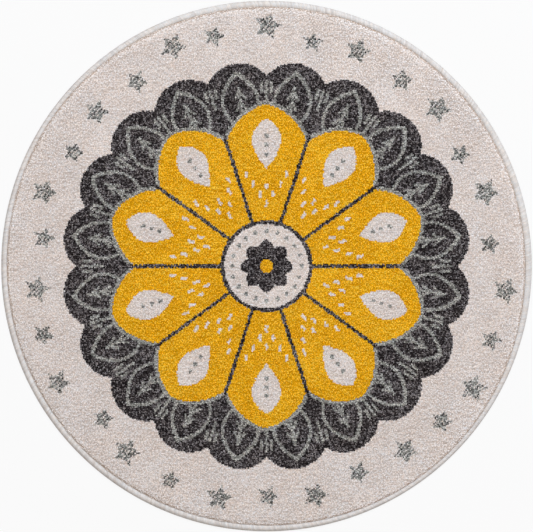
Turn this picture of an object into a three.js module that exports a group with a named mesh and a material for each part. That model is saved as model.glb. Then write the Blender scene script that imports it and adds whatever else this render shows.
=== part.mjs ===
// Round rug: a flat disc of short-pile woven carpet, with yarn serged round its rim.
// Units are millimetres and +Z is up. The origin is the middle of the underside, on the floor.

import * as THREE from 'three';

// Driving dimensions
const rugDiameter = 1200;
const rugThickness = 12;
const edgingWidth = 14;
const edgingHeight = 9.6;

// The rim of the carpet is shorn to a thin tongue, and the edging yarn lies over, round and under it.
const tongueReach = 7.5;
const tongueThickness = 3;
const yarnUnderTongue = 1.3;
const sewingGap = 0.3;

// Roundings: the pile falls away at the rim, and the edging is a soft roll that flattens on the floor.
const pileShoulder = 5;
const rollOuterReach = 9.6;
const rollFlankHeight = 4.2;
const rollInnerDrop = 2.6;

const turns = 120;
const shoulderSteps = 4;
const rollSteps = 4;
const rollInnerSteps = 3;

// Radii and heights that follow from the driving dimensions
const outerRadius = rugDiameter / 2;
const edgingInnerRadius = outerRadius - edgingWidth;
const fieldRadius = edgingInnerRadius - sewingGap;
const tongueRadius = fieldRadius + tongueReach;
const tongueBottom = yarnUnderTongue + sewingGap;
const tongueTop = tongueBottom + tongueThickness;

// Points on a quarter of an ellipse, from one angle to the next in equal steps, ends included.
function arcPoints(centre, reach, height, fromDegrees, toDegrees, steps) {
  const points = [];
  for (let step = 0; step <= steps; step += 1) {
    const angle = THREE.MathUtils.degToRad(fromDegrees + ((toDegrees - fromDegrees) * step) / steps);
    points.push(new THREE.Vector2(centre.x + reach * Math.cos(angle), centre.y + height * Math.sin(angle)));
  }
  return points;
}

// A section drawn as (radius, height), turned once round the upright axis.
function turnedSolid(section) {
  const geometry = new THREE.LatheGeometry(section, turns);
  geometry.rotateX(Math.PI / 2);
  return geometry;
}

// Carpet field: flat underside, tongue at the rim, a vertical cut face and a softly rounded pile edge.
function fieldGeometry() {
  const shoulderCentre = new THREE.Vector2(fieldRadius - pileShoulder, rugThickness - pileShoulder);
  return turnedSolid([
    new THREE.Vector2(0, 0),
    new THREE.Vector2(fieldRadius, 0),
    new THREE.Vector2(fieldRadius, tongueBottom),
    new THREE.Vector2(tongueRadius, tongueBottom),
    new THREE.Vector2(tongueRadius, tongueTop),
    new THREE.Vector2(fieldRadius, tongueTop),
    ...arcPoints(shoulderCentre, pileShoulder, pileShoulder, 0, 90, shoulderSteps),
    new THREE.Vector2(0, rugThickness),
  ]);
}

// Edging: a roll of yarn with a slot on its inner side, which holds the tongue.
function edgingGeometry() {
  const rollCrownRadius = outerRadius - rollOuterReach;
  const flankCentre = new THREE.Vector2(rollCrownRadius, rollFlankHeight);
  const slotRadius = tongueRadius + sewingGap;
  const innerCentre = new THREE.Vector2(rollCrownRadius, edgingHeight - rollInnerDrop);
  const innerReach = rollCrownRadius - edgingInnerRadius;
  const underside = new THREE.Vector2(edgingInnerRadius, 0);
  const lowerFlank = arcPoints(flankCentre, rollOuterReach, rollFlankHeight, -90, 0, rollSteps);
  const upperFlank = arcPoints(
    flankCentre, rollOuterReach, edgingHeight - rollFlankHeight, 0, 90, rollSteps,
  );
  const innerShoulder = arcPoints(innerCentre, innerReach, rollInnerDrop, 90, 180, rollInnerSteps);
  return turnedSolid([
    underside,
    ...lowerFlank,
    ...upperFlank.slice(1),
    ...innerShoulder.slice(1),
    new THREE.Vector2(edgingInnerRadius, tongueTop + sewingGap),
    new THREE.Vector2(slotRadius, tongueTop + sewingGap),
    new THREE.Vector2(slotRadius, yarnUnderTongue),
    new THREE.Vector2(edgingInnerRadius, yarnUnderTongue),
    underside.clone(),
  ]);
}

// Yarn finishes
const creamPile = new THREE.MeshStandardMaterial({ color: 0xd4cdc7, roughness: 0.95, metalness: 0 });
const edgingYarn = new THREE.MeshStandardMaterial({ color: 0xe1ded9, roughness: 0.85, metalness: 0 });

function namedMesh(name, geometry, material) {
  const mesh = new THREE.Mesh(geometry, material);
  mesh.name = name;
  return mesh;
}

const rug = new THREE.Group();
rug.add(namedMesh('rug_field', fieldGeometry(), creamPile));
rug.add(namedMesh('serged_edging', edgingGeometry(), edgingYarn));

export default rug;
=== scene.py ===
# %% [markdown]
# # A round rug with a short twisted-yarn pile
#
# The rug is a flat disc of machine-woven carpet. Thousands of short yarn tufts stand on a woven backing,
# the loom picks one of four yarns for every tuft, and a pale yarn is sewn over the cut rim.
# This lesson builds the same things in the same order: the loom's grid, the chart of colours, the tufts,
# the backing and the sewn edge. All lengths are in metres, so a length in millimetres is times MM.

# %% Load the fixed frame
import math

import bpy
import numpy as np
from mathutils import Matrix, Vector


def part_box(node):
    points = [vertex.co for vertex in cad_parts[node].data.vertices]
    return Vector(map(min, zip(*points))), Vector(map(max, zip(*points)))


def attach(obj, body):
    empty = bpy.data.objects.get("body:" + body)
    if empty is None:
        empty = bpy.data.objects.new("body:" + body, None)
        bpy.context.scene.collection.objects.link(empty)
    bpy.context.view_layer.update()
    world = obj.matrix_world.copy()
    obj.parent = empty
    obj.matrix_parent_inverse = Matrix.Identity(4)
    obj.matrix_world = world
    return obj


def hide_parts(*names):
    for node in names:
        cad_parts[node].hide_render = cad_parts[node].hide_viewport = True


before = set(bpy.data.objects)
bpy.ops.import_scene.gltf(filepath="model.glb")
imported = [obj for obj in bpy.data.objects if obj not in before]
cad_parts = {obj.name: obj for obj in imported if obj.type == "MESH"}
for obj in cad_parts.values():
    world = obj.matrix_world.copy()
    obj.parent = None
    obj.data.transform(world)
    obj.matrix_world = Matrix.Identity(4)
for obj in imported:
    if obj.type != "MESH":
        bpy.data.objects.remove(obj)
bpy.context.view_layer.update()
MM = 0.001
_, field_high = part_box("rug_field")
_, edging_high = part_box("serged_edging")
RUG_RADIUS = edging_high.x
PILE_TOP = field_high.z
EDGING_TOP = edging_high.z
print(f"rug radius {RUG_RADIUS:.4f} m, pile top {PILE_TOP:.4f} m, edging top {EDGING_TOP:.4f} m")


def new_object(name, data):
    obj = bpy.data.objects.new(name, data)
    bpy.context.scene.collection.objects.link(obj)
    return obj


# %% [markdown]
# ## Camera
#
# The rug is seen from straight above, and it fills the picture from side to side. A long lens far away
# keeps the far parts of a flat thing as large as the near ones, so the circle stays a circle and the
# edging shows as wide on every side. The camera's distance follows from the lens: the width that the
# picture should show, times the lens, over the width of the sensor.

# %% Camera straight above
PICTURE_WIDTH_PX = 533
RUG_WIDTH_PX = 531.1
LENS = 135 * MM
SENSOR = 36 * MM

metres_per_px = 2 * RUG_RADIUS / RUG_WIDTH_PX
camera_distance = PICTURE_WIDTH_PX * metres_per_px * LENS / SENSOR

camera_data = bpy.data.cameras.new("camera_above")
camera_data.lens = LENS / MM
camera_data.sensor_width = SENSOR / MM
camera_data.clip_end = 50
camera = new_object("camera_above", camera_data)
camera.location = (0, 0, EDGING_TOP / 2 + camera_distance)
bpy.context.scene.camera = camera
print(f"one pixel is {metres_per_px / MM:.3f} mm, the camera is {camera_distance:.2f} m above the rug")

# %% [markdown]
# ## Floor and light
#
# A product picture of a rug has a bright, even ground with hardly a shadow. The floor here is a grey sheet
# that glows, and it glows much brighter for the camera than for the rug, so the picture is bright but the
# rim gets little light from below. A warm white sky gives soft light from all round, and the camera sees it
# as pale as the floor. A large round lamp, a touch cooler and beyond the top of the picture, gives the light
# a direction: it brightens the edging's far flank and gives each tuft a light and a dark side. As it stands
# only a few metres away, the top of the rug is a little brighter than the bottom.

# %% Floor, sky and lamp
FLOOR_SIZE = 60.0
FLOOR_SIDES = 64
FLOOR_GREY = (0.08, 0.08, 0.08, 1)
FLOOR_GLOW = 0.35
FLOOR_GLOW_TO_CAMERA = 0.87
SKY_LIGHT = (0.504, 0.446, 0.401, 1)
SKY_TO_CAMERA = (0.94, 0.94, 0.94, 1)


def new_material(name):
    material = bpy.data.materials.new(name)
    material.use_nodes = True
    return material, material.node_tree, material.node_tree.nodes["Principled BSDF"]


def flat_disc_mesh(name, radius, sides):
    angles = np.linspace(0, 2 * np.pi, sides, endpoint=False)
    rim = np.stack([radius * np.cos(angles), radius * np.sin(angles), np.zeros(sides)], 1)
    mesh = bpy.data.meshes.new(name)
    mesh.from_pydata(rim.tolist(), [], [list(range(sides))])
    return mesh


floor_material, floor_tree, floor_shader = new_material("floor_light_table")
floor_shader.inputs["Base Color"].default_value = FLOOR_GREY
floor_shader.inputs["Roughness"].default_value = 1.0
floor_shader.inputs["Specular IOR Level"].default_value = 0.0
floor_shader.inputs["Emission Color"].default_value = (1, 1, 1, 1)
seen_by = floor_tree.nodes.new("ShaderNodeLightPath")
glow = floor_tree.nodes.new("ShaderNodeMapRange")
glow.inputs["To Min"].default_value = FLOOR_GLOW
glow.inputs["To Max"].default_value = FLOOR_GLOW_TO_CAMERA
floor_tree.links.new(seen_by.outputs["Is Camera Ray"], glow.inputs["Value"])
floor_tree.links.new(glow.outputs["Result"], floor_shader.inputs["Emission Strength"])
floor = new_object("floor", flat_disc_mesh("floor", FLOOR_SIZE / 2, FLOOR_SIDES))
floor.data.materials.append(floor_material)

world = bpy.data.worlds.new("studio")
world.use_nodes = True
sky = world.node_tree
sky_seen_by = sky.nodes.new("ShaderNodeLightPath")
sky_colour = sky.nodes.new("ShaderNodeMix")
sky_colour.data_type = "RGBA"
sky_colour.inputs[6].default_value = SKY_LIGHT
sky_colour.inputs[7].default_value = SKY_TO_CAMERA
sky.links.new(sky_seen_by.outputs["Is Camera Ray"], sky_colour.inputs[0])
sky.links.new(sky_colour.outputs[2], sky.nodes["Background"].inputs["Color"])
bpy.context.scene.world = world

LAMP_DIRECTION = Vector((0.33, 0.94, 1.5)).normalized()
LAMP_DISTANCE = 6.3
LAMP_WIDTH = 5.6
LAMP_WATTS = 409
LAMP_TINT = (0.92, 1.0, 1.09)
lamp_data = bpy.data.lights.new("round_softbox", "AREA")
lamp_data.shape = "DISK"
lamp_data.size = LAMP_WIDTH
lamp_data.energy = LAMP_WATTS
lamp_data.color = LAMP_TINT
lamp = new_object("round_softbox", lamp_data)
lamp.location = LAMP_DISTANCE * LAMP_DIRECTION
lamp.rotation_euler = (-LAMP_DIRECTION).to_track_quat("-Z", "Y").to_euler()
lamp.visible_camera = False
bpy.context.scene.view_settings.view_transform = "Standard"

# %% [markdown]
# ## The loom's grid
#
# A carpet loom plants its tufts in straight columns and rows. An outline that should be round therefore
# climbs in small steps, one tuft at a time, and that is how such a rug shows that it is woven and not
# printed. So the pattern is never drawn on the surface: every tuft asks the chart, at its own place on
# the grid, which yarn it is. A tuft is a loop of yarn that is cut open, so it stands as two ends, one behind
# the other, and each end blooms wider along its row than across it.
#
# The rim knows nothing of the grid. It is cut round and led through the sewing machine by hand, so the
# width of the sewing wanders, and the last tufts and the furrow beside it follow.

# %% Grid of tufts
COLUMN = 3.15 * MM
ROW = 3.3 * MM
EDGING_WIDTH = 14 * MM
BARE_RIM = 5.2 * MM
# Waves round the rim in the width of the sewing: how many, how large in millimetres, where in degrees
WANDER = ((2, 1.4, 46), (3, 0.7, -3), (4, 0.9, 4))


def extra_width(x, y):
    angle = np.arctan2(y, x)
    return MM * sum(size * np.cos(waves * (angle - math.radians(place))) for waves, size, place in WANDER)


def last_tuft_radius(x, y):
    return RUG_RADIUS - EDGING_WIDTH - BARE_RIM - extra_width(x, y)


columns = np.arange(-round(RUG_RADIUS / COLUMN), round(RUG_RADIUS / COLUMN) + 1) * COLUMN
rows = np.arange(-round(RUG_RADIUS / ROW), round(RUG_RADIUS / ROW) + 1) * ROW
grid_x, grid_y = (axis.ravel() for axis in np.meshgrid(columns, rows))
on_rug = np.hypot(grid_x, grid_y) < last_tuft_radius(grid_x, grid_y) + ROW / 2
grid_x, grid_y = grid_x[on_rug], grid_y[on_rug]
print(f"{len(grid_x)} tufts, {len(columns)} columns by {len(rows)} rows")

# %% [markdown]
# ## The chart of colours
#
# The pattern is a ten-petal medallion in a wreath of dark lobes, with a border of little stars. Everything in
# it repeats round the middle. So the plane is folded like paper into one slice, and each motif is described
# only once there, by u along the slice's middle line and v across it. A petal is a width that swells and
# closes again from foot to tip. Later motifs are laid over earlier ones, as in painting.

# %% Motifs
CREAM, CHARCOAL, MUSTARD, GREY = range(4)


def folded(x, y, count, turn=0.0):
    """Distance along and across the middle line of the nearest of count equal slices."""
    slice_angle = 2 * np.pi / count
    angle = (np.arctan2(x, y) - turn + slice_angle / 2) % slice_angle - slice_angle / 2
    radius = np.hypot(x, y)
    return radius * np.cos(angle), radius * np.sin(angle)


def in_petal(u, v, foot, tip, half_width, swell, fullness):
    """A petal that is widest beyond its middle if swell is over 1, and rounder for a low fullness."""
    along = (u - foot) / (tip - foot)
    inside = (along > 0) & (along < 1)
    width = half_width * np.sin(np.pi * np.clip(along, 0, 1) ** swell) ** fullness
    return inside & (np.abs(v) < width)


def in_star(x, y, reach, turn, waist=0.52):
    """A five-pointed star: inside the straight line from a point to the notch beside it."""
    u, v = folded(x, y, 5, turn)
    notch_u = reach * waist * math.cos(math.pi / 5)
    notch_v = reach * waist * math.sin(math.pi / 5)
    return (u - reach) * notch_v - np.abs(v) * (notch_u - reach) < 0


def in_dot(u, v, place, radius):
    return (u - place) ** 2 + v**2 < radius**2


def in_dash(u, v, place, aside, length, thickness):
    return (np.abs(u - place) < length / 2) & (np.abs(np.abs(v) - aside) < thickness / 2)


# %% [markdown]
# ### Border stars
#
# A ring of little stars fills the pale border, a large one and a small one further in by turns, each with
# one point to the right. They aren't solid: charcoal, grey and cream follow each other in slanting lines,
# broken by plain grey, which reads as a heathered grey. Their places wander a little and no two are quite
# alike, with a fixed seed so that every run weaves the same rug.

# %% Chart of the border
STARS = 30
STAR_RING = (531 * MM, 519 * MM)
STAR_WANDER = 15 * MM
STAR_REACH = (31 * MM, 25 * MM)
STAR_REACH_UNEVEN = 0.06
STAR_PLACE_UNEVEN = 0.1
STAR_TURN_UNEVEN = 0.15
STAR_TWILL = np.array((CHARCOAL, GREY, CREAM))
PLAIN_SHARE = 0.5


def chart_border(yarn, x, y):
    slant = np.rint(y / ROW - x / COLUMN).astype(int)
    chance = np.random.default_rng(7)
    for number in range(STARS):
        uneven = chance.uniform(-STAR_PLACE_UNEVEN, STAR_PLACE_UNEVEN)
        angle = 2 * np.pi * (number + uneven) / STARS
        ring = STAR_RING[number % 2] + chance.uniform(-1, 1) * STAR_WANDER
        from_x, from_y = x - ring * np.sin(angle), y - ring * np.cos(angle)
        reach = STAR_REACH[number % 2] * chance.uniform(1 - STAR_REACH_UNEVEN, 1 + STAR_REACH_UNEVEN)
        turn = np.pi / 2 + chance.uniform(-STAR_TURN_UNEVEN, STAR_TURN_UNEVEN)
        star = in_star(from_x, from_y, reach, turn)
        plain = chance.random(np.count_nonzero(star)) < PLAIN_SHARE
        yarn[star] = np.where(plain, GREY, STAR_TWILL[slant[star] % 3])


# %% [markdown]
# ### Wreath, petals and middle
#
# The wreath is a charcoal disc with twenty shallow lobes. Each lobe holds a grey leaf in fine line work, with
# a sprig on either side. Ten mustard petals lie on it, parted by thin charcoal lines and edged in grey. In
# each petal sit a pale drop with three dots, and short pale dashes as if sewn. The middle is a pale round
# with a small dark flower.

# %% Chart of the medallion
LINE = 6.2 * MM
DOT = 4.8 * MM
FRAY = 0.9 * MM

LOBES = 20
WREATH_RADIUS = 410 * MM
LOBE_PLACE, LOBE_RADIUS = 382 * MM, 80 * MM
# Petal shapes: foot, tip, half width, swell, fullness
LEAF = (304 * MM, 445 * MM, 44 * MM, 1.0, 0.8)
LEAF_HOLLOW = (314 * MM, 434 * MM, 37 * MM, 1.0, 0.8)
# Dashes: where along, how far aside, how long
LEAF_VEIN = (366 * MM, 0, 86 * MM)
SPRIG = ((394 * MM, 0, 50 * MM), (404 * MM, 11 * MM, 24 * MM))
RIB_STARTS = (354 * MM, 379 * MM)
RIB_LENGTH = 22 * MM
RIB_SLOPE = 0.55


def chart_wreath(yarn, x, y):
    u, v = folded(x, y, LOBES, np.pi / LOBES)
    lobe = in_dot(u, v, LOBE_PLACE, LOBE_RADIUS)
    yarn[(np.hypot(x, y) < WREATH_RADIUS) | lobe] = CHARCOAL
    yarn[in_petal(u, v, *LEAF) & ~in_petal(u, v, *LEAF_HOLLOW)] = GREY
    yarn[in_dash(u, v, *LEAF_VEIN, LINE)] = GREY
    for start in RIB_STARTS:
        rib = np.abs(np.abs(v) - RIB_SLOPE * (start + RIB_LENGTH - u)) < LINE / 2
        yarn[rib & (u > start) & (u < start + RIB_LENGTH)] = GREY
    u, v = folded(x, y, LOBES)
    for dash in SPRIG:
        yarn[in_dash(u, v, *dash, LINE)] = GREY


PETALS = 10
PETAL_EDGE = (40 * MM, 372 * MM, 101 * MM, 1.6, 0.6)
PETAL = (40 * MM, 364 * MM, 94 * MM, 1.6, 0.6)
DROP = (220 * MM, 332 * MM, 33 * MM, 1.25, 0.75)
DROP_DOTS = (253 * MM, 273 * MM, 293 * MM)
# Pale dashes on a petal, in millimetres: where along, how far aside
DASHES = ((142, 0), (162, 15), (180, 0), (186, 31), (207, 45))
DASH_LENGTH = 15 * MM
SEAM = (206 * MM, 0, 218 * MM)
SEAM_LINE = 1.25 * LINE


def chart_petals(yarn, x, y):
    u, v = folded(x, y, PETALS)
    yarn[in_petal(u, v, *PETAL_EDGE)] = GREY
    yarn[in_petal(u, v, *PETAL)] = MUSTARD
    yarn[in_petal(u, v, *DROP)] = CREAM
    for place in DROP_DOTS:
        yarn[in_dot(u, v, place, DOT)] = GREY
    for place, aside in DASHES:
        yarn[in_dash(u, v, place * MM, aside * MM, DASH_LENGTH, LINE)] = CREAM
    u, v = folded(x, y, PETALS, np.pi / PETALS)
    yarn[in_dash(u, v, *SEAM, SEAM_LINE)] = CHARCOAL


MIDDLE_RIM, MIDDLE_ROUND, MIDDLE_EYE = 104 * MM, 95 * MM, 15.5 * MM
MIDDLE_DOTS, DOTS_PLACE = 20, 78 * MM
FLOWER_PETALS = 8
FLOWER_PETAL = (8 * MM, 60 * MM, 17.5 * MM, 1.3, 0.7)


def chart_middle(yarn, x, y):
    radius = np.hypot(x, y)
    yarn[radius < MIDDLE_RIM] = CHARCOAL
    yarn[radius < MIDDLE_ROUND] = CREAM
    yarn[in_dot(*folded(x, y, MIDDLE_DOTS), DOTS_PLACE, DOT)] = GREY
    yarn[in_petal(*folded(x, y, FLOWER_PETALS), *FLOWER_PETAL)] = CHARCOAL
    yarn[radius < MIDDLE_EYE] = MUSTARD


# Each tuft asks the chart a hair beside its place, so the outlines fray a little
fray = np.random.default_rng(11).uniform(-FRAY, FRAY, (2, len(grid_x)))
chart = np.full(len(grid_x), CREAM)
for add_motifs in (chart_border, chart_wreath, chart_petals, chart_middle):
    add_motifs(chart, grid_x + fray[0], grid_y + fray[1])
for name, yarn in (("cream", CREAM), ("charcoal", CHARCOAL), ("mustard", MUSTARD), ("grey", GREY)):
    print(f"{name}: {np.mean(chart == yarn):.1%} of the tufts")

# %% [markdown]
# ## Planting the tufts
#
# A cut yarn end is thin where the backing grips it, and bloomed at its head. There are far too many to place
# by hand, and a particle system would be lost in the export. A Geometry Nodes tree is the right tool: it
# copies one small wedge, with its point down and its blunt head up, to every place, leans and turns each at
# random with a fixed seed, and makes the copies real at the end. Neighbours lean alike, because the lean
# comes from a soft noise, and that gives the pile its short wandering ridges. The wedge has four faces only,
# and flat faces would look like chips of stone, so it is shaded smooth and each head looks round.

# %% Helpers for node trees


def add_node(tree, kind, inputs=None, **settings):
    node = tree.nodes.new(kind)
    for name, value in settings.items():
        setattr(node, name, value)
    for name, value in (inputs or {}).items():
        socket = node.inputs[name]
        if isinstance(value, bpy.types.NodeSocket):
            tree.links.new(value, socket)
        else:
            socket.default_value = value
    return node


def math_node(tree, operation, first, second=0.0):
    return add_node(tree, "ShaderNodeMath", {0: first, 1: second}, operation=operation).outputs[0]


def vector_math(tree, operation, first, other):
    inputs = {0: first, "Scale" if operation == "SCALE" else 1: other}
    return add_node(tree, "ShaderNodeVectorMath", inputs, operation=operation).outputs[0]


def group_inputs(tree, sockets):
    """Makes the tree's inputs from (name, kind, value), and a Geometry input and output."""
    tree.interface.new_socket("Geometry", in_out="INPUT", socket_type="NodeSocketGeometry")
    tree.interface.new_socket("Geometry", in_out="OUTPUT", socket_type="NodeSocketGeometry")
    for name, kind, value in sockets:
        socket = tree.interface.new_socket(name, in_out="INPUT", socket_type=f"NodeSocket{kind}")
        if value is not None:
            socket.default_value = value
    return tree.nodes.new("NodeGroupInput").outputs, tree.nodes.new("NodeGroupOutput").inputs


def keep_attribute(tree, geometry, name, kind, domain, value):
    inputs = {"Geometry": geometry, "Name": name, "Value": value}
    node = add_node(tree, "GeometryNodeStoreNamedAttribute", inputs, data_type=kind, domain=domain)
    return node.outputs[0]


def named(tree, name, kind):
    node = add_node(tree, "GeometryNodeInputNamedAttribute", {"Name": name}, data_type=kind)
    return node.outputs[0]


# %% [markdown]
# Every copy gets a small square of its own on the map named OFBake, on which the colours can be baked for
# other programs. The squares stand in a grid, in the order in which the copies were made, and inside its
# square each copy is laid out as the first one was.

# %% A square on the bake map for every copy


def number_squares(tree, points, across):
    index = add_node(tree, "GeometryNodeInputIndex").outputs[0]
    column = math_node(tree, "MODULO", index, across)
    row = math_node(tree, "FLOOR", math_node(tree, "DIVIDE", index, across))
    square = add_node(tree, "ShaderNodeCombineXYZ", {"X": column, "Y": row}).outputs[0]
    return keep_attribute(tree, points, "square", "FLOAT_VECTOR", "POINT", square)


def fill_squares(tree, geometry, layout, across):
    square = named(tree, "square", "FLOAT_VECTOR")
    place = vector_math(tree, "ADD", named(tree, layout, "FLOAT_VECTOR"), square)
    share = math_node(tree, "DIVIDE", 1.0, across)
    place = vector_math(tree, "SCALE", place, share)
    geometry = keep_attribute(tree, geometry, "OFBake", "FLOAT2", "CORNER", place)
    for name in (layout, "square"):
        remove = add_node(tree, "GeometryNodeRemoveAttribute", {"Geometry": geometry, "Name": name})
        geometry = remove.outputs[0]
    return geometry


# %% The tree that plants tufts


def leaning_direction(tree, given):
    """Up, tipped by a soft noise that neighbours share, by chance, and by what the point asks for."""
    position = add_node(tree, "GeometryNodeInputPosition").outputs[0]
    scale = math_node(tree, "DIVIDE", 1.0, given["Clump size"])
    inputs = {"Vector": position, "Scale": scale, "Detail": 0.0}
    clump = add_node(tree, "ShaderNodeTexNoise", inputs).outputs["Color"]
    clump = vector_math(tree, "SUBTRACT", clump, (0.5, 0.5, 0.5))
    clump = vector_math(tree, "SCALE", clump, given["Clump lean"])
    inputs = {"Min": (-1, -1, 0), "Max": (1, 1, 0), "Seed": given["Seed"]}
    chance = add_node(tree, "FunctionNodeRandomValue", inputs, data_type="FLOAT_VECTOR").outputs[0]
    chance = vector_math(tree, "SCALE", chance, given["Loose lean"])
    lean = vector_math(tree, "ADD", clump, chance)
    lean = vector_math(tree, "ADD", lean, named(tree, "asked_lean", "FLOAT_VECTOR"))
    lean = vector_math(tree, "MULTIPLY", lean, (1, 1, 0))
    return vector_math(tree, "ADD", lean, (0, 0, 1))


def random_number(tree, low, high, seed, shift):
    shifted = math_node(tree, "ADD", seed, shift)
    node = add_node(tree, "FunctionNodeRandomValue", {"Seed": shifted}, data_type="FLOAT")
    limits = [s for s in node.inputs if s.type == "VALUE" and s.name in ("Min", "Max")]
    for limit, value in zip(limits, (low, high), strict=True):
        limit.default_value = value
    return next(s for s in node.outputs if s.type == "VALUE")


# Shares of the usual girth and height that a tuft may have
GIRTHS = (0.9, 1.12)
HEIGHTS = (0.97, 1.02)


def turn_about_z(tree, angle):
    angles = add_node(tree, "ShaderNodeCombineXYZ", {"Z": angle}).outputs[0]
    return add_node(tree, "FunctionNodeEulerToRotation", {0: angles}).outputs[0]


def finished(tree, copies, layout, given):
    """Makes the copies real, lays them out for the bake, rounds them by their shading and dyes them."""
    real = add_node(tree, "GeometryNodeRealizeInstances", {"Geometry": copies}).outputs[0]
    real = fill_squares(tree, real, layout, given["Squares across"])
    rounded = add_node(tree, "GeometryNodeSetShadeSmooth", {"Geometry": real}).outputs[0]
    inputs = {"Geometry": rounded, "Material": given["Yarn"]}
    return add_node(tree, "GeometryNodeSetMaterial", inputs).outputs[0]


def plant_tufts_tree():
    tree = bpy.data.node_groups.new("plant_tufts", "GeometryNodeTree")
    given, out = group_inputs(
        tree,
        (
            ("Tuft height", "Float", 0.01),
            ("Head radius", "Float", 0.002),
            ("Width along row", "Float", 1.3),
            ("Width across row", "Float", 0.8),
            ("Loose spin", "Float", 0.4),
            ("Clump size", "Float", 0.008),
            ("Clump lean", "Float", 0.8),
            ("Loose lean", "Float", 0.2),
            ("Seed", "Int", 1),
            ("Squares across", "Int", 100),
            ("Yarn", "Material", None),
        ),
    )
    tuft = add_node(
        tree,
        "GeometryNodeMeshCone",
        {
            "Vertices": 3,
            "Radius Top": given["Head radius"],
            "Radius Bottom": 0.0,
            "Depth": given["Tuft height"],
        },
    )
    unwrapped = tuft.outputs["UV Map"]
    one_tuft = keep_attribute(
        tree, tuft.outputs["Mesh"], "tuft_layout", "FLOAT_VECTOR", "CORNER", unwrapped
    )
    place = add_node(tree, "GeometryNodeInputPosition").outputs[0]
    rise = add_node(tree, "ShaderNodeSeparateXYZ", {0: place}).outputs["Z"]
    tip = math_node(tree, "DIVIDE", rise, given["Tuft height"])
    one_tuft = keep_attribute(tree, one_tuft, "tip", "FLOAT", "POINT", tip)

    points = number_squares(tree, given["Geometry"], given["Squares across"])
    upright = add_node(
        tree, "FunctionNodeAlignRotationToVector", {"Vector": leaning_direction(tree, given)}, axis="Z"
    ).outputs[0]
    flip = math_node(tree, "ROUND", random_number(tree, 0.0, 1.0, given["Seed"], 2))
    wobble = random_number(tree, -1.0, 1.0, given["Seed"], 5)
    wobble = math_node(tree, "MULTIPLY", wobble, given["Loose spin"])
    spin = math_node(tree, "ADD", math_node(tree, "MULTIPLY", flip, math.pi), wobble)
    spin = turn_about_z(tree, spin)
    turned = add_node(
        tree, "FunctionNodeRotateRotation", {"Rotation": upright, "Rotate By": spin}, rotation_space="LOCAL"
    ).outputs[0]
    girth = random_number(tree, *GIRTHS, given["Seed"], 3)
    height = random_number(tree, *HEIGHTS, given["Seed"], 4)
    along = math_node(tree, "MULTIPLY", girth, given["Width along row"])
    across = math_node(tree, "MULTIPLY", girth, given["Width across row"])
    size = add_node(tree, "ShaderNodeCombineXYZ", {"X": along, "Y": across, "Z": height}).outputs[0]
    size = vector_math(tree, "MULTIPLY", size, named(tree, "bloom", "FLOAT_VECTOR"))
    copies = add_node(
        tree,
        "GeometryNodeInstanceOnPoints",
        {"Points": points, "Instance": one_tuft, "Rotation": turned, "Scale": size},
    ).outputs[0]
    tree.links.new(finished(tree, copies, "tuft_layout", given), out["Geometry"])
    return tree


plant_tufts = plant_tufts_tree()
print(f"the planting tree has {len(plant_tufts.nodes)} nodes")

# %% [markdown]
# ## Yarn finishes
#
# One shader group serves the four pile yarns and the edging. A twisted yarn is never one colour: each end is
# a little lighter or darker than the next, the tone drifts in patches and along the rows, one spot is a
# little warmer than another, and the fibres show as fine flecks. The foot of a tuft is painted darker than
# its tip, as painted shade for the light lost down in the pile.
# The group mixes three shades by the tone of the end and its drift, and then tints them by the rest. It
# gives out a colour and a height for the bump. The shader stays in each material.

# %% Shader group for twisted yarn


def mix_colours(tree, share, first, second, blend="MIX"):
    inputs = {0: share, 6: first, 7: second}
    return add_node(tree, "ShaderNodeMix", inputs, data_type="RGBA", blend_type=blend).outputs[2]


def remapped(tree, value, from_low, from_high, to_low, to_high):
    inputs = {0: value, 1: from_low, 2: from_high, 3: to_low, 4: to_high}
    return add_node(tree, "ShaderNodeMapRange", inputs).outputs[0]


def mix_values(tree, share, first, second):
    return add_node(tree, "ShaderNodeMix", {0: share, 2: first, 3: second}).outputs[0]


def noise(tree, place, scale, detail=1.0):
    inputs = {"Vector": place, "Scale": scale, "Detail": detail}
    return add_node(tree, "ShaderNodeTexNoise", inputs).outputs[0]


def carried(tree, name, output="Fac"):
    """What the points of the mesh carry under this name."""
    return add_node(tree, "ShaderNodeAttribute", attribute_name=name).outputs[output]


def both_ways(tree, value):
    """Spreads a noise, which keeps near its middle, from minus one to one."""
    return remapped(tree, value, 0.3, 0.7, -1, 1)


YARN_SETTINGS = {"Foot shade": 0.55, "Tone drift": 0.3, "Fibre contrast": 0.1, "Warmth drift": 0.05}
TONE_PATCHES = 12.0
TONE_STREAKS = (36, 330, 1)
STREAK_SHARE = 0.66
FIBRES = 640.0
WARM_SPOTS, WARM_PATCHES = 190.0, 16.0
WARM_PATCH_SHARE = 0.28


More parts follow.
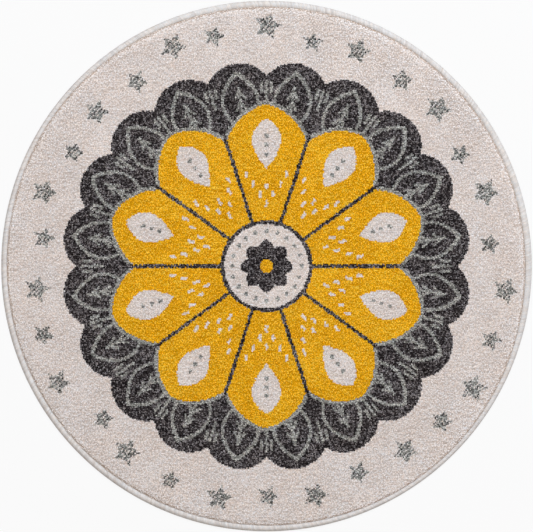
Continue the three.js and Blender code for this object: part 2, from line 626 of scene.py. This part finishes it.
def twisted_yarn_group():
    tree = bpy.data.node_groups.new("twisted_yarn", "ShaderNodeTree")
    for name in ("Dark shade", "Middle shade", "Light shade"):
        tree.interface.new_socket(name, in_out="INPUT", socket_type="NodeSocketColor")
    for name, value in YARN_SETTINGS.items():
        socket = tree.interface.new_socket(name, in_out="INPUT", socket_type="NodeSocketFloat")
        socket.default_value = value
    tree.interface.new_socket("Color", in_out="OUTPUT", socket_type="NodeSocketColor")
    tree.interface.new_socket("Fibre height", in_out="OUTPUT", socket_type="NodeSocketFloat")
    given = tree.nodes.new("NodeGroupInput").outputs
    out = tree.nodes.new("NodeGroupOutput").inputs

    place = add_node(tree, "ShaderNodeTexCoord").outputs["Object"]
    streaks = add_node(tree, "ShaderNodeMapping", {"Vector": place, "Scale": TONE_STREAKS}).outputs[0]
    streaks = noise(tree, streaks, 1.0)
    drift = mix_values(tree, STREAK_SHARE, noise(tree, place, TONE_PATCHES, 2.0), streaks)
    drift = math_node(tree, "MULTIPLY", both_ways(tree, drift), given["Tone drift"])
    tone = math_node(tree, "ADD", carried(tree, "tone"), drift)
    past_dark = remapped(tree, tone, 0.0, 0.5, 0, 1)
    past_middle = remapped(tree, tone, 0.5, 1.0, 0, 1)
    shade = mix_colours(tree, past_dark, given["Dark shade"], given["Middle shade"])
    shade = mix_colours(tree, past_middle, shade, given["Light shade"])

    fibres = noise(tree, place, FIBRES)
    flecks = math_node(tree, "MULTIPLY", both_ways(tree, fibres), given["Fibre contrast"])
    light = math_node(tree, "ADD", flecks, 1.0)
    # Painted shade: each end is darkened towards its root, for the light lost down in the pile
    foot = remapped(tree, carried(tree, "tip"), 0.1, 0.95, given["Foot shade"], 1.0)
    light = math_node(tree, "MULTIPLY", light, foot)
    warm_patches = noise(tree, place, WARM_PATCHES, 3.0)
    warmth = mix_values(tree, WARM_PATCH_SHARE, noise(tree, place, WARM_SPOTS), warm_patches)
    warmth = math_node(tree, "MULTIPLY", both_ways(tree, warmth), given["Warmth drift"])
    warm_light = math_node(tree, "MULTIPLY", light, math_node(tree, "ADD", 1.0, warmth))
    cool_light = math_node(tree, "MULTIPLY", light, math_node(tree, "SUBTRACT", 1.0, warmth))
    tint = add_node(tree, "ShaderNodeCombineColor", {0: warm_light, 1: light, 2: cool_light}).outputs[0]
    tree.links.new(mix_colours(tree, 1.0, shade, tint, "MULTIPLY"), out["Color"])
    tree.links.new(fibres, out["Fibre height"])
    return tree


twisted_yarn = twisted_yarn_group()

# %% [markdown]
# The colours are written as they look on the rug, in the 0 to 255 numbers of a picture, and are changed to
# the linear numbers that a shader works with. The pile yarn is matt, and a little sheen stands for the fine
# fibres that stand off it.

# %% Materials of the four pile yarns


def linear(red, green, blue):
    def one(value):
        share = value / 255
        return share / 12.92 if share <= 0.04045 else ((share + 0.055) / 1.055) ** 2.4

    return (one(red), one(green), one(blue), 1.0)


YARN_SHADES = {
    "cream": ((204, 190, 181), (239, 231, 226), (246, 241, 239)),
    "charcoal": ((29, 25, 26), (72, 66, 67), (150, 144, 145)),
    "mustard": ((203, 140, 8), (248, 192, 27), (247, 213, 76)),
    "grey": ((110, 110, 105), (165, 164, 159), (219, 218, 213)),
}
# How dark the painted shade at the foot of an end is, for the light lost down in the pile
PAINTED_FOOT_SHADES = {"cream": 1.0, "charcoal": 0.6, "mustard": 1.0, "grey": 0.75}
FIBRE_CONTRASTS = {"cream": 0.2, "charcoal": 0.7, "mustard": 0.42, "grey": 0.4}


def dyed_yarn(tree, shades, **settings):
    """The shader group in a material, with its three shades and the settings that differ."""
    yarn = add_node(tree, "ShaderNodeGroup", node_tree=twisted_yarn)
    for socket, shade in zip(("Dark shade", "Middle shade", "Light shade"), shades, strict=True):
        yarn.inputs[socket].default_value = linear(*shade)
    for name, value in settings.items():
        yarn.inputs[name.replace("_", " ").capitalize()].default_value = value
    return yarn.outputs


def add_bump(tree, shader, height, strength, depth):
    bump = add_node(tree, "ShaderNodeBump", {"Height": height, "Strength": strength})
    bump.inputs["Distance"].default_value = depth
    tree.links.new(bump.outputs[0], shader.inputs["Normal"])


def yarn_material(name, shades):
    material, tree, shader = new_material(f"pile_{name}_yarn")
    contrast = FIBRE_CONTRASTS[name]
    yarn = dyed_yarn(tree, shades, foot_shade=PAINTED_FOOT_SHADES[name], fibre_contrast=contrast)
    tree.links.new(yarn["Color"], shader.inputs["Base Color"])
    add_bump(tree, shader, yarn["Fibre height"], 0.5, 0.4 * MM)
    shader.inputs["Roughness"].default_value = 0.92
    shader.inputs["Specular IOR Level"].default_value = 0.05
    shader.inputs["Sheen Weight"].default_value = 0.1
    shader.inputs["Sheen Roughness"].default_value = 0.6
    shader.inputs["Sheen Tint"].default_value = linear(*shades[1])
    return material


yarn_materials = {name: yarn_material(name, shades) for name, shades in YARN_SHADES.items()}

# %% [markdown]
# ## The pile
#
# Each yarn is a piece of its own, in a left and a right half so that no mesh grows too large. The points of
# a piece carry three facts: how large the end is, how it is asked to lean, and how light its tone is. The
# whole pile lies slightly towards the bottom of the rug, as pile does after weaving. Two rows that follow
# each other have opposite tones, which makes a fine grain, but each charcoal tuft has its own. At the rounded
# rim the ends are shorter, lean out and bloom wider, and the last ones are drawn in to a ragged line.

# %% Plant each yarn
BACKING_TOP = 2.2 * MM
ROOT_DEPTH = 0.5 * MM
TUFT = {
    "Tuft height": PILE_TOP - BACKING_TOP + ROOT_DEPTH,
    "Head radius": 2.3 * MM,
    "Width along row": 0.98,
    "Width across row": 0.58,
    "Loose spin": 0.4,
    "Clump size": 8 * MM,
    "Clump lean": 0.07,
    "Loose lean": 0.1,
}
ROUNDER_ENDS = {"Width along row": 0.8, "Width across row": 0.7}
PLACE_JITTER = 0.2 * MM
TONE_SPREAD = 0.3
PILE_LAY = (0.0, -0.05)
RIM_REACH = 13 * MM
RIM_LEAN = 0.08
RIM_STAND = 0.82
RIM_BLOOM = 1.2
RIM_LOCK = 6 * MM
RIM_RAGGED = 1.7 * MM

placing = np.random.default_rng(21)
end_x = np.concatenate([grid_x, grid_x])
end_y = np.concatenate([grid_y - ROW / 4, grid_y + ROW / 4])
end_yarn = np.concatenate([chart, chart])
end_x += placing.uniform(-PLACE_JITTER, PLACE_JITTER, len(end_x))
end_y += placing.uniform(-PLACE_JITTER, PLACE_JITTER, len(end_y))
from_middle = np.maximum(np.hypot(end_x, end_y), MM)
last_radius = last_tuft_radius(end_x, end_y)
rim_locks = placing.uniform(-RIM_RAGGED, RIM_RAGGED, round(2 * math.pi * RUG_RADIUS / RIM_LOCK))
lock_places = np.linspace(-math.pi, math.pi, len(rim_locks))
ragged = np.interp(np.arctan2(end_y, end_x), lock_places, rim_locks)
pulled_in = np.minimum(1, (last_radius + ragged) / from_middle)
end_x, end_y, from_middle = end_x * pulled_in, end_y * pulled_in, from_middle * pulled_in
near_rim = np.clip((from_middle - last_radius + RIM_REACH) / RIM_REACH, 0, 1)
bloom = np.ones((len(end_x), 3))
bloom[:, :2] += (RIM_BLOOM - 1) * near_rim[:, None]
bloom[:, 2] -= (1 - RIM_STAND) * near_rim**2

tuft_row, tuft_column = np.rint(grid_y / ROW).astype(int), np.rint(grid_x / COLUMN).astype(int)
pair_tones = placing.random((len(rows), len(columns)))[tuft_row // 2, tuft_column]
tuft_tone = np.where(tuft_row % 2, 1 - pair_tones, pair_tones)
tuft_tone = np.where(chart == CHARCOAL, placing.random(len(chart)), tuft_tone)
end_tone = np.concatenate([tuft_tone, tuft_tone]) + placing.uniform(-TONE_SPREAD, TONE_SPREAD, len(end_x))
lean = np.zeros((len(end_x), 3))
lean[:, 0] = PILE_LAY[0] + RIM_LEAN * near_rim * end_x / from_middle
lean[:, 1] = PILE_LAY[1] + RIM_LEAN * near_rim * end_y / from_middle

# %% [markdown]
# In the furrow beside the sewing the pile is shorn to a stubble. A brown strip in the ground's material could
# stand for it, but from the side that looks painted, so short ends are planted here with the cream ones. They
# are low and narrow, follow the rim and not the grid, and let the brown ground show between them.

# %% Stubble in the furrow
STUBBLE_ENDS = 2600
STUBBLE_FROM, STUBBLE_TO = 1.2 * MM, 4.6 * MM
STUBBLE_STAND = (0.6, 0.88)
STUBBLE_UNEVEN = 0.03
STUBBLE_WIDTH = 0.9
STUBBLE_TONE = (0.0, 0.8)

stubble_angle = (np.arange(STUBBLE_ENDS) + placing.uniform(-0.5, 0.5, STUBBLE_ENDS)) / STUBBLE_ENDS
stubble_angle = 2 * np.pi * stubble_angle - np.pi
ring_x, ring_y = np.cos(stubble_angle), np.sin(stubble_angle)
stubble_radius = last_tuft_radius(ring_x, ring_y) + placing.uniform(STUBBLE_FROM, STUBBLE_TO, STUBBLE_ENDS)
stubble_bloom = np.full((STUBBLE_ENDS, 3), STUBBLE_WIDTH)
lock_stand = placing.uniform(*STUBBLE_STAND, len(lock_places))
stubble_bloom[:, 2] = np.interp(stubble_angle, lock_places, lock_stand)
stubble_bloom[:, 2] += placing.uniform(-STUBBLE_UNEVEN, STUBBLE_UNEVEN, STUBBLE_ENDS)
end_x = np.append(end_x, stubble_radius * ring_x)
end_y = np.append(end_y, stubble_radius * ring_y)
end_yarn = np.append(end_yarn, np.full(STUBBLE_ENDS, CREAM))
end_tone = np.append(end_tone, placing.uniform(*STUBBLE_TONE, STUBBLE_ENDS))
bloom = np.concatenate([bloom, stubble_bloom])
lean = np.concatenate([lean, np.zeros((STUBBLE_ENDS, 3))])

# %% Helpers that plant


def set_inputs(modifier, values):
    sockets = {s.name: s.identifier for s in modifier.node_group.interface.items_tree if s.in_out == "INPUT"}
    for name, value in values.items():
        modifier[sockets[name]] = value


def made_real(obj):
    """Replaces the object's mesh by what its modifiers make of it, and removes them."""
    made = bpy.data.meshes.new_from_object(obj.evaluated_get(bpy.context.evaluated_depsgraph_get()))
    obj.modifiers.clear()
    obj.data = made
    made.name = obj.name
    if not made.materials[0]:
        made.materials.pop(index=0)
    return obj


def count_triangles(obj):
    return sum(len(face.vertices) - 2 for face in obj.data.polygons)


def points_mesh(name, chosen):
    mesh = bpy.data.meshes.new(name)
    mesh.vertices.add(int(chosen.sum()))
    height = np.full(chosen.sum(), BACKING_TOP - ROOT_DEPTH)
    mesh.vertices.foreach_set("co", np.stack([end_x[chosen], end_y[chosen], height], 1).ravel())
    for fact, values in (("bloom", bloom), ("asked_lean", lean)):
        mesh.attributes.new(fact, "FLOAT_VECTOR", "POINT").data.foreach_set("vector", values[chosen].ravel())
    mesh.attributes.new("tone", "FLOAT", "POINT").data.foreach_set("value", end_tone[chosen])
    return mesh


def planted(name, chosen, material, seed, shape):
    piece = new_object(name, points_mesh(name, chosen))
    modifier = piece.modifiers.new("plant", "NODES")
    modifier.node_group = plant_tufts
    squares = math.ceil(math.sqrt(chosen.sum()))
    set_inputs(modifier, shape | {"Seed": seed, "Squares across": squares, "Yarn": material})
    return made_real(piece)


pile = []
for number, (yarn_name, material) in enumerate(yarn_materials.items()):
    shape = TUFT | ROUNDER_ENDS if yarn_name == "mustard" else TUFT
    for side, on_side in (("left", end_x < 0), ("right", end_x >= 0)):
        chosen = (end_yarn == number) & on_side
        piece = planted(f"pile_{yarn_name}_{side}", chosen, material, 10 * number + 1, shape)
        pile.append(piece)
        print(f"{piece.name}: {count_triangles(piece)} triangles")

# %% [markdown]
# Lower down the pile stands so dense that it is a surface of its own, and no eye sees between the tufts to
# the backing. A bed of flat strips makes that surface, a little below the heads. Each strip lies under one
# run of tufts of the same yarn in a row, so there are few of them. At the rim the strips are cut up into
# steps, and the bed drops there as the heads do.

# %% Bed under the heads
BED_TOP = 9.8 * MM
RIM_STEPS = 4
CORNERS = ((0, -1), (1, -1), (1, 1), (0, 1))

into_rim = (np.hypot(grid_x, grid_y) - last_tuft_radius(grid_x, grid_y) + RIM_REACH) / RIM_REACH
kind_of_run = chart + len(yarn_materials) * np.ceil(RIM_STEPS * np.clip(into_rim, 0, 1))
run_starts = np.flatnonzero((np.diff(kind_of_run) != 0) | (np.diff(grid_y) > 0)) + 1
run_first = np.concatenate([[0], run_starts])
run_last = np.concatenate([run_starts, [len(chart)]]) - 1
run_ends = (grid_x[run_first] - COLUMN / 2, grid_x[run_last] + COLUMN / 2)


# Painted shade: the strips carry no tone and no tip, so they take the darkest shade and the full painted foot
# shade of their yarn, for the shade down between the heads.
def bed_of(name, yarn, material):
    chosen = chart[run_first] == yarn
    x = np.stack([run_ends[end][chosen] for end, _ in CORNERS], 1)
    y = np.stack([grid_y[run_first][chosen] + side * ROW / 2 for _, side in CORNERS], 1)
    radius = np.hypot(x, y)
    last_radius = last_tuft_radius(x, y)
    inward = np.minimum(1, last_radius / radius)
    drop = (1 - RIM_STAND) * np.clip((radius * inward - last_radius + RIM_REACH) / RIM_REACH, 0, 1) ** 2
    z = BACKING_TOP + (BED_TOP - BACKING_TOP) * (1 - drop)
    corners = np.stack([x * inward, y * inward, z], 2).reshape(-1, 3)
    mesh = bpy.data.meshes.new(name)
    mesh.from_pydata(corners, [], np.arange(len(corners)).reshape(-1, 4))
    mesh.materials.append(material)
    bake_places = corners[:, :2] / (2 * RUG_RADIUS) + 0.5
    mesh.uv_layers.new(name="OFBake").uv.foreach_set("vector", bake_places.ravel())
    return new_object(name, mesh)


for number, (yarn_name, material) in enumerate(yarn_materials.items()):
    bed = bed_of(f"pile_bed_{yarn_name}", number, material)
    pile.append(bed)
    print(f"{bed.name}: {count_triangles(bed)} triangles")

# %% [markdown]
# ## The backing
#
# Under the pile lies the woven ground that holds the tufts: a flat round sheet about two millimetres thick,
# in undyed yarn. It shows on the underside. In the furrow between pile and edging the ground is drawn up by
# the sewing into a raised ring of the same sheet, in which the stubble stands. There it is painted a darker
# brown, as painted shade for the shade down in the furrow. The section is drawn once and turned round the
# middle, and then the furrow is moved to follow the sewing. The rim goes on as the thin tongue that the
# edging wraps.

# %% Backing sheet
TURNS = 240
TONGUE_BOTTOM, TONGUE_TOP = 1.6 * MM, 4.6 * MM
TONGUE_RADIUS = field_high.x
SHORN_TOP = 7.4 * MM
BACKING_RINGS = 24
field_radius = RUG_RADIUS - EDGING_WIDTH
shorn_radius = field_radius - BARE_RIM


def turned_mesh(name, section, turns):
    """Turns a section of (radius, height) round the upright axis. The ends may lie on the axis."""
    angles = np.linspace(0, 2 * np.pi, turns, endpoint=False)
    vertices, rings = [], []
    for radius, height in section:
        if radius == 0:
            rings.append([len(vertices)] * turns)
            vertices.append((0, 0, height))
            continue
        rings.append(list(range(len(vertices), len(vertices) + turns)))
        vertices.extend((radius * math.cos(a), radius * math.sin(a), height) for a in angles)
    faces = []
    for inner, outer in zip(rings, rings[1:]):
        for k in range(turns):
            after = (k + 1) % turns
            corners = [inner[k], outer[k], outer[after], inner[after]]
            faces.append(list(dict.fromkeys(corners)))
    mesh = bpy.data.meshes.new(name)
    mesh.from_pydata(vertices, [], faces)
    return mesh


flat_steps = [field_radius * k / BACKING_RINGS for k in range(BACKING_RINGS + 1)]
top_steps = [radius for radius in reversed(flat_steps) if radius < shorn_radius]
backing_section = (
    [(radius, 0.0) for radius in flat_steps]
    + [(field_radius, TONGUE_BOTTOM), (TONGUE_RADIUS, TONGUE_BOTTOM)]
    + [(TONGUE_RADIUS, TONGUE_TOP), (field_radius, TONGUE_TOP), (field_radius, SHORN_TOP)]
    + [(shorn_radius, SHORN_TOP), (shorn_radius, BACKING_TOP)]
    + [(radius, BACKING_TOP) for radius in top_steps]
)
backing = new_object("woven_backing", turned_mesh("woven_backing", backing_section, TURNS))


def follow_sewing(mesh, inner_radius, outer_radius, share_moved):
    """Moves the vertices between two radii with the sewing's wandering width, by a share for each radius."""
    places = np.empty(3 * len(mesh.vertices))
    mesh.vertices.foreach_get("co", places)
    places = places.reshape(-1, 3)
    radius = np.hypot(places[:, 0], places[:, 1])
    follows = (radius > inner_radius) & (radius < outer_radius)
    inward = follows * share_moved(radius) * extra_width(places[:, 0], places[:, 1])
    places[:, :2] *= (1 - inward / np.maximum(radius, MM))[:, None]
    mesh.vertices.foreach_set("co", places.ravel())


follow_sewing(backing.data, shorn_radius - MM, field_radius + MM, np.ones_like)

# %% Weave of the backing
WEAVE_DARK, WEAVE_LIGHT = linear(184, 169, 150), linear(218, 205, 188)
# Painted shade: the ground in the furrow is a darker brown than the weave, for the shade down in the furrow
FURROW_SHADE_BROWN = linear(181, 158, 139)
WEAVE_STRANDS = 700.0


def weave_material():
    material, tree, shader = new_material("undyed_backing_weave")
    place = add_node(tree, "ShaderNodeTexCoord").outputs["Object"]
    axes = add_node(tree, "ShaderNodeSeparateXYZ", {0: place}).outputs
    waves = []
    for axis, spacing in (("X", COLUMN), ("Y", ROW)):
        turned = math_node(tree, "MULTIPLY", axes[axis], 2 * math.pi / spacing)
        waves.append(math_node(tree, "SINE", turned))
    over_under = math_node(tree, "MULTIPLY", *waves)
    strands = noise(tree, place, WEAVE_STRANDS, 2.0)
    light = remapped(tree, math_node(tree, "ADD", over_under, strands), -0.6, 1.6, 0, 1)
    colour = mix_colours(tree, light, WEAVE_DARK, WEAVE_LIGHT)
    # Painted shade: high up, in the furrow, the weave gives way to the darker brown
    in_furrow = remapped(tree, axes["Z"], TONGUE_TOP, SHORN_TOP, 0, 1)
    colour = mix_colours(tree, in_furrow, colour, FURROW_SHADE_BROWN)
    tree.links.new(colour, shader.inputs["Base Color"])
    add_bump(tree, shader, over_under, 0.6, 0.4 * MM)
    shader.inputs["Roughness"].default_value = 0.9
    return material


backing.data.materials.append(weave_material())
print(f"woven_backing: {count_triangles(backing)} triangles")

# %% [markdown]
# ## The sewn edge
#
# The rim is oversewn with yarn: thread after thread comes up through the furrow, lies slanting over the rim,
# and goes back underneath. One wrap is a short flattened tube on a bent path. It is copied round the rim by a
# second tree, a little unevenly, because a machine that sews a curve never spaces every wrap alike. The wraps
# overlap, so they close the rim without anything under them but the tongue. At last they are drawn wider or
# narrower, with the same waves as the furrow.
#
# The yarn is a bundle of fine threads that lie side by side. Each point of a wrap remembers how far it lies
# across and along it, and a noise that is stretched along the wrap draws the threads from that.

# %% One wrap of yarn
WRAP_PITCH = 3.4 * MM
WRAP_SLANT = 9.0 * MM
BAKE_MARGIN = 0.06
# How far the corners of a wrap's section lie out and aside, in millimetres: a flat ridge and two low sides
WRAP_SECTION = ((0.4, 0.8), (-0.3, 2.4), (-0.3, -2.4), (0.4, -0.8))
# Radius and height of the wrap's middle line, in millimetres, from the furrow over the rim to the underside
WRAP_PATH = (
    (586.2, 6.1),
    (587.3, 7.3),
    (589.5, 8.3),
    (592.5, 9.0),
    (595.0, 8.2),
    (596.8, 6.7),
    (598.0, 5.2),
    (599.3, 3.2),
    (598.8, 1.6),
    (596.2, 0.6),
    (592.0, 0.5),
    (587.5, 0.5),
)


def one_wrap_mesh():
    path = np.array(WRAP_PATH) * MM
    steps = np.gradient(path, axis=0)
    steps /= np.linalg.norm(steps, axis=1, keepdims=True)
    outward = np.stack([-steps[:, 1], steps[:, 0]], 1)
    along = np.linspace(0, 1, len(path))
    vertices, threads, layout = [], [], []
    sides = len(WRAP_SECTION)
    for place, normal, share in zip(path, outward, along):
        for out, aside in WRAP_SECTION:
            radius = place[0] + out * MM * normal[0]
            height = place[1] + out * MM * normal[1]
            vertices.append((radius, aside * MM + WRAP_SLANT * (share - 0.5), height))
            threads.append((aside, share, 0))
    faces = []
    for step in range(len(path) - 1):
        for side in range(sides):
            after = (side + 1) % sides
            low, high = step * sides, (step + 1) * sides
            faces.append((low + side, high + side, high + after, low + after))
            left, right = side / sides, (side + 1) / sides
            near, far = along[step], along[step + 1]
            layout += [(left, near), (left, far), (right, far), (right, near)]
    last = (len(path) - 1) * sides
    faces.append(tuple(range(sides)))
    faces.append(tuple(reversed(range(last, last + sides))))
    layout += [(k / sides, 0.0) for k in range(sides)] + [(k / sides, 1.0) for k in range(sides)]
    mesh = bpy.data.meshes.new("one_wrap")
    mesh.from_pydata(vertices, [], faces)
    room = (BAKE_MARGIN + (1 - 2 * BAKE_MARGIN) * np.array(layout)).ravel()
    mesh.attributes.new("wrap_layout", "FLOAT2", "CORNER").data.foreach_set("vector", room)
    mesh.attributes.new("thread_place", "FLOAT_VECTOR", "POINT").data.foreach_set("vector", np.ravel(threads))
    mesh.update()
    return mesh


# %% The tree that sews round the rim
# Share of the pitch by which a wrap may lie off its place
PITCH_UNEVEN = 0.12


def oversew_tree():
    tree = bpy.data.node_groups.new("oversew_rim", "GeometryNodeTree")
    given, out = group_inputs(
        tree,
        (
            ("Wraps", "Int", 100),
            ("Unevenness", "Float", 0.0003),
            ("Seed", "Int", 1),
            ("Squares across", "Int", 40),
            ("Yarn", "Material", None),
        ),
    )
    line = add_node(tree, "GeometryNodeMeshLine", {"Count": given["Wraps"], "Offset": (0, 0, 0)}).outputs[0]
    line = number_squares(tree, line, given["Squares across"])
    tone = random_number(tree, 0.0, 1.0, given["Seed"], 1)
    line = keep_attribute(tree, line, "tone", "FLOAT", "POINT", tone)
    index = add_node(tree, "GeometryNodeInputIndex").outputs[0]
    uneven = random_number(tree, -PITCH_UNEVEN, PITCH_UNEVEN, given["Seed"], 2)
    index = math_node(tree, "ADD", index, uneven)
    turn = math_node(tree, "DIVIDE", math_node(tree, "MULTIPLY", index, 2 * math.pi), given["Wraps"])
    rotation = turn_about_z(tree, turn)
    shift = random_number(tree, -1.0, 0.0, given["Seed"], 3)
    shift = math_node(tree, "MULTIPLY", shift, given["Unevenness"])
    shift = add_node(tree, "ShaderNodeCombineXYZ", {"X": shift}).outputs[0]
    copies = add_node(
        tree,
        "GeometryNodeInstanceOnPoints",
        {"Points": line, "Instance": given["Geometry"], "Rotation": rotation},
    ).outputs[0]
    inputs = {"Instances": copies, "Translation": shift, "Local Space": True}
    copies = add_node(tree, "GeometryNodeTranslateInstances", inputs).outputs[0]
    tree.links.new(finished(tree, copies, "wrap_layout", given), out["Geometry"])
    return tree


# %% Yarn of the edging
EDGING_SHADES = ((200, 194, 190), (209, 205, 202), (218, 214, 211))
# How fast the threads' noise changes across and along a wrap, and how far two wraps lie apart in it
THREAD_FINENESS = (2.6, 3.0, 0)
WRAPS_APART = 90.0
THREAD_LIGHT = (0.9, 1.1)


def edging_yarn_material():
    material, tree, shader = new_material("oversewn_edging_yarn")
    yarn = dyed_yarn(tree, EDGING_SHADES, foot_shade=1.0, tone_drift=0.08)
    place = vector_math(tree, "MULTIPLY", carried(tree, "thread_place", "Vector"), THREAD_FINENESS)
    wrap = math_node(tree, "MULTIPLY", carried(tree, "tone"), WRAPS_APART)
    wrap = add_node(tree, "ShaderNodeCombineXYZ", {"Z": wrap}).outputs[0]
    threads = noise(tree, vector_math(tree, "ADD", place, wrap), 1.0, 2.0)
    light = remapped(tree, threads, 0.3, 0.7, *THREAD_LIGHT)
    tint = add_node(tree, "ShaderNodeCombineColor", dict.fromkeys(range(3), light)).outputs[0]
    colour = mix_colours(tree, 1.0, yarn["Color"], tint, "MULTIPLY")
    tree.links.new(colour, shader.inputs["Base Color"])
    add_bump(tree, shader, threads, 0.7, 0.5 * MM)
    shader.inputs["Roughness"].default_value = 0.55
    shader.inputs["Sheen Weight"].default_value = 0.1
    return material


# %% Sew round the rim
wraps = round(2 * math.pi * (RUG_RADIUS - EDGING_WIDTH / 2) / WRAP_PITCH)
edging = new_object("serged_edge_yarn", one_wrap_mesh())
sewing = edging.modifiers.new("sew", "NODES")
sewing.node_group = oversew_tree()
set_inputs(
    sewing,
    {
        "Wraps": wraps,
        "Unevenness": 0.1 * MM,
        "Seed": 5,
        "Squares across": math.ceil(math.sqrt(wraps)),
        "Yarn": edging_yarn_material(),
    },
)
made_real(edging)
follow_sewing(edging.data, 0, RUG_RADIUS, lambda radius: (RUG_RADIUS - radius) / EDGING_WIDTH)
print(f"serged_edge_yarn: {wraps} wraps, {count_triangles(edging)} triangles")

# %% [markdown]
# ## Joining the frame
#
# Every piece rides on the rug's one body and stands for the plain solid that it refines. The backing is the
# sheet of cloth that was cut round, and the pile and the edging are what is on it.

# %% Ride and replace
for piece in [backing, *pile]:
    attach(piece, "root")
    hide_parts("rug_field")
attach(edging, "root")
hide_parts("serged_edging")

# %% Count the triangles and finish
print(f"all pieces: {sum(count_triangles(p) for p in [backing, edging, *pile])} triangles")
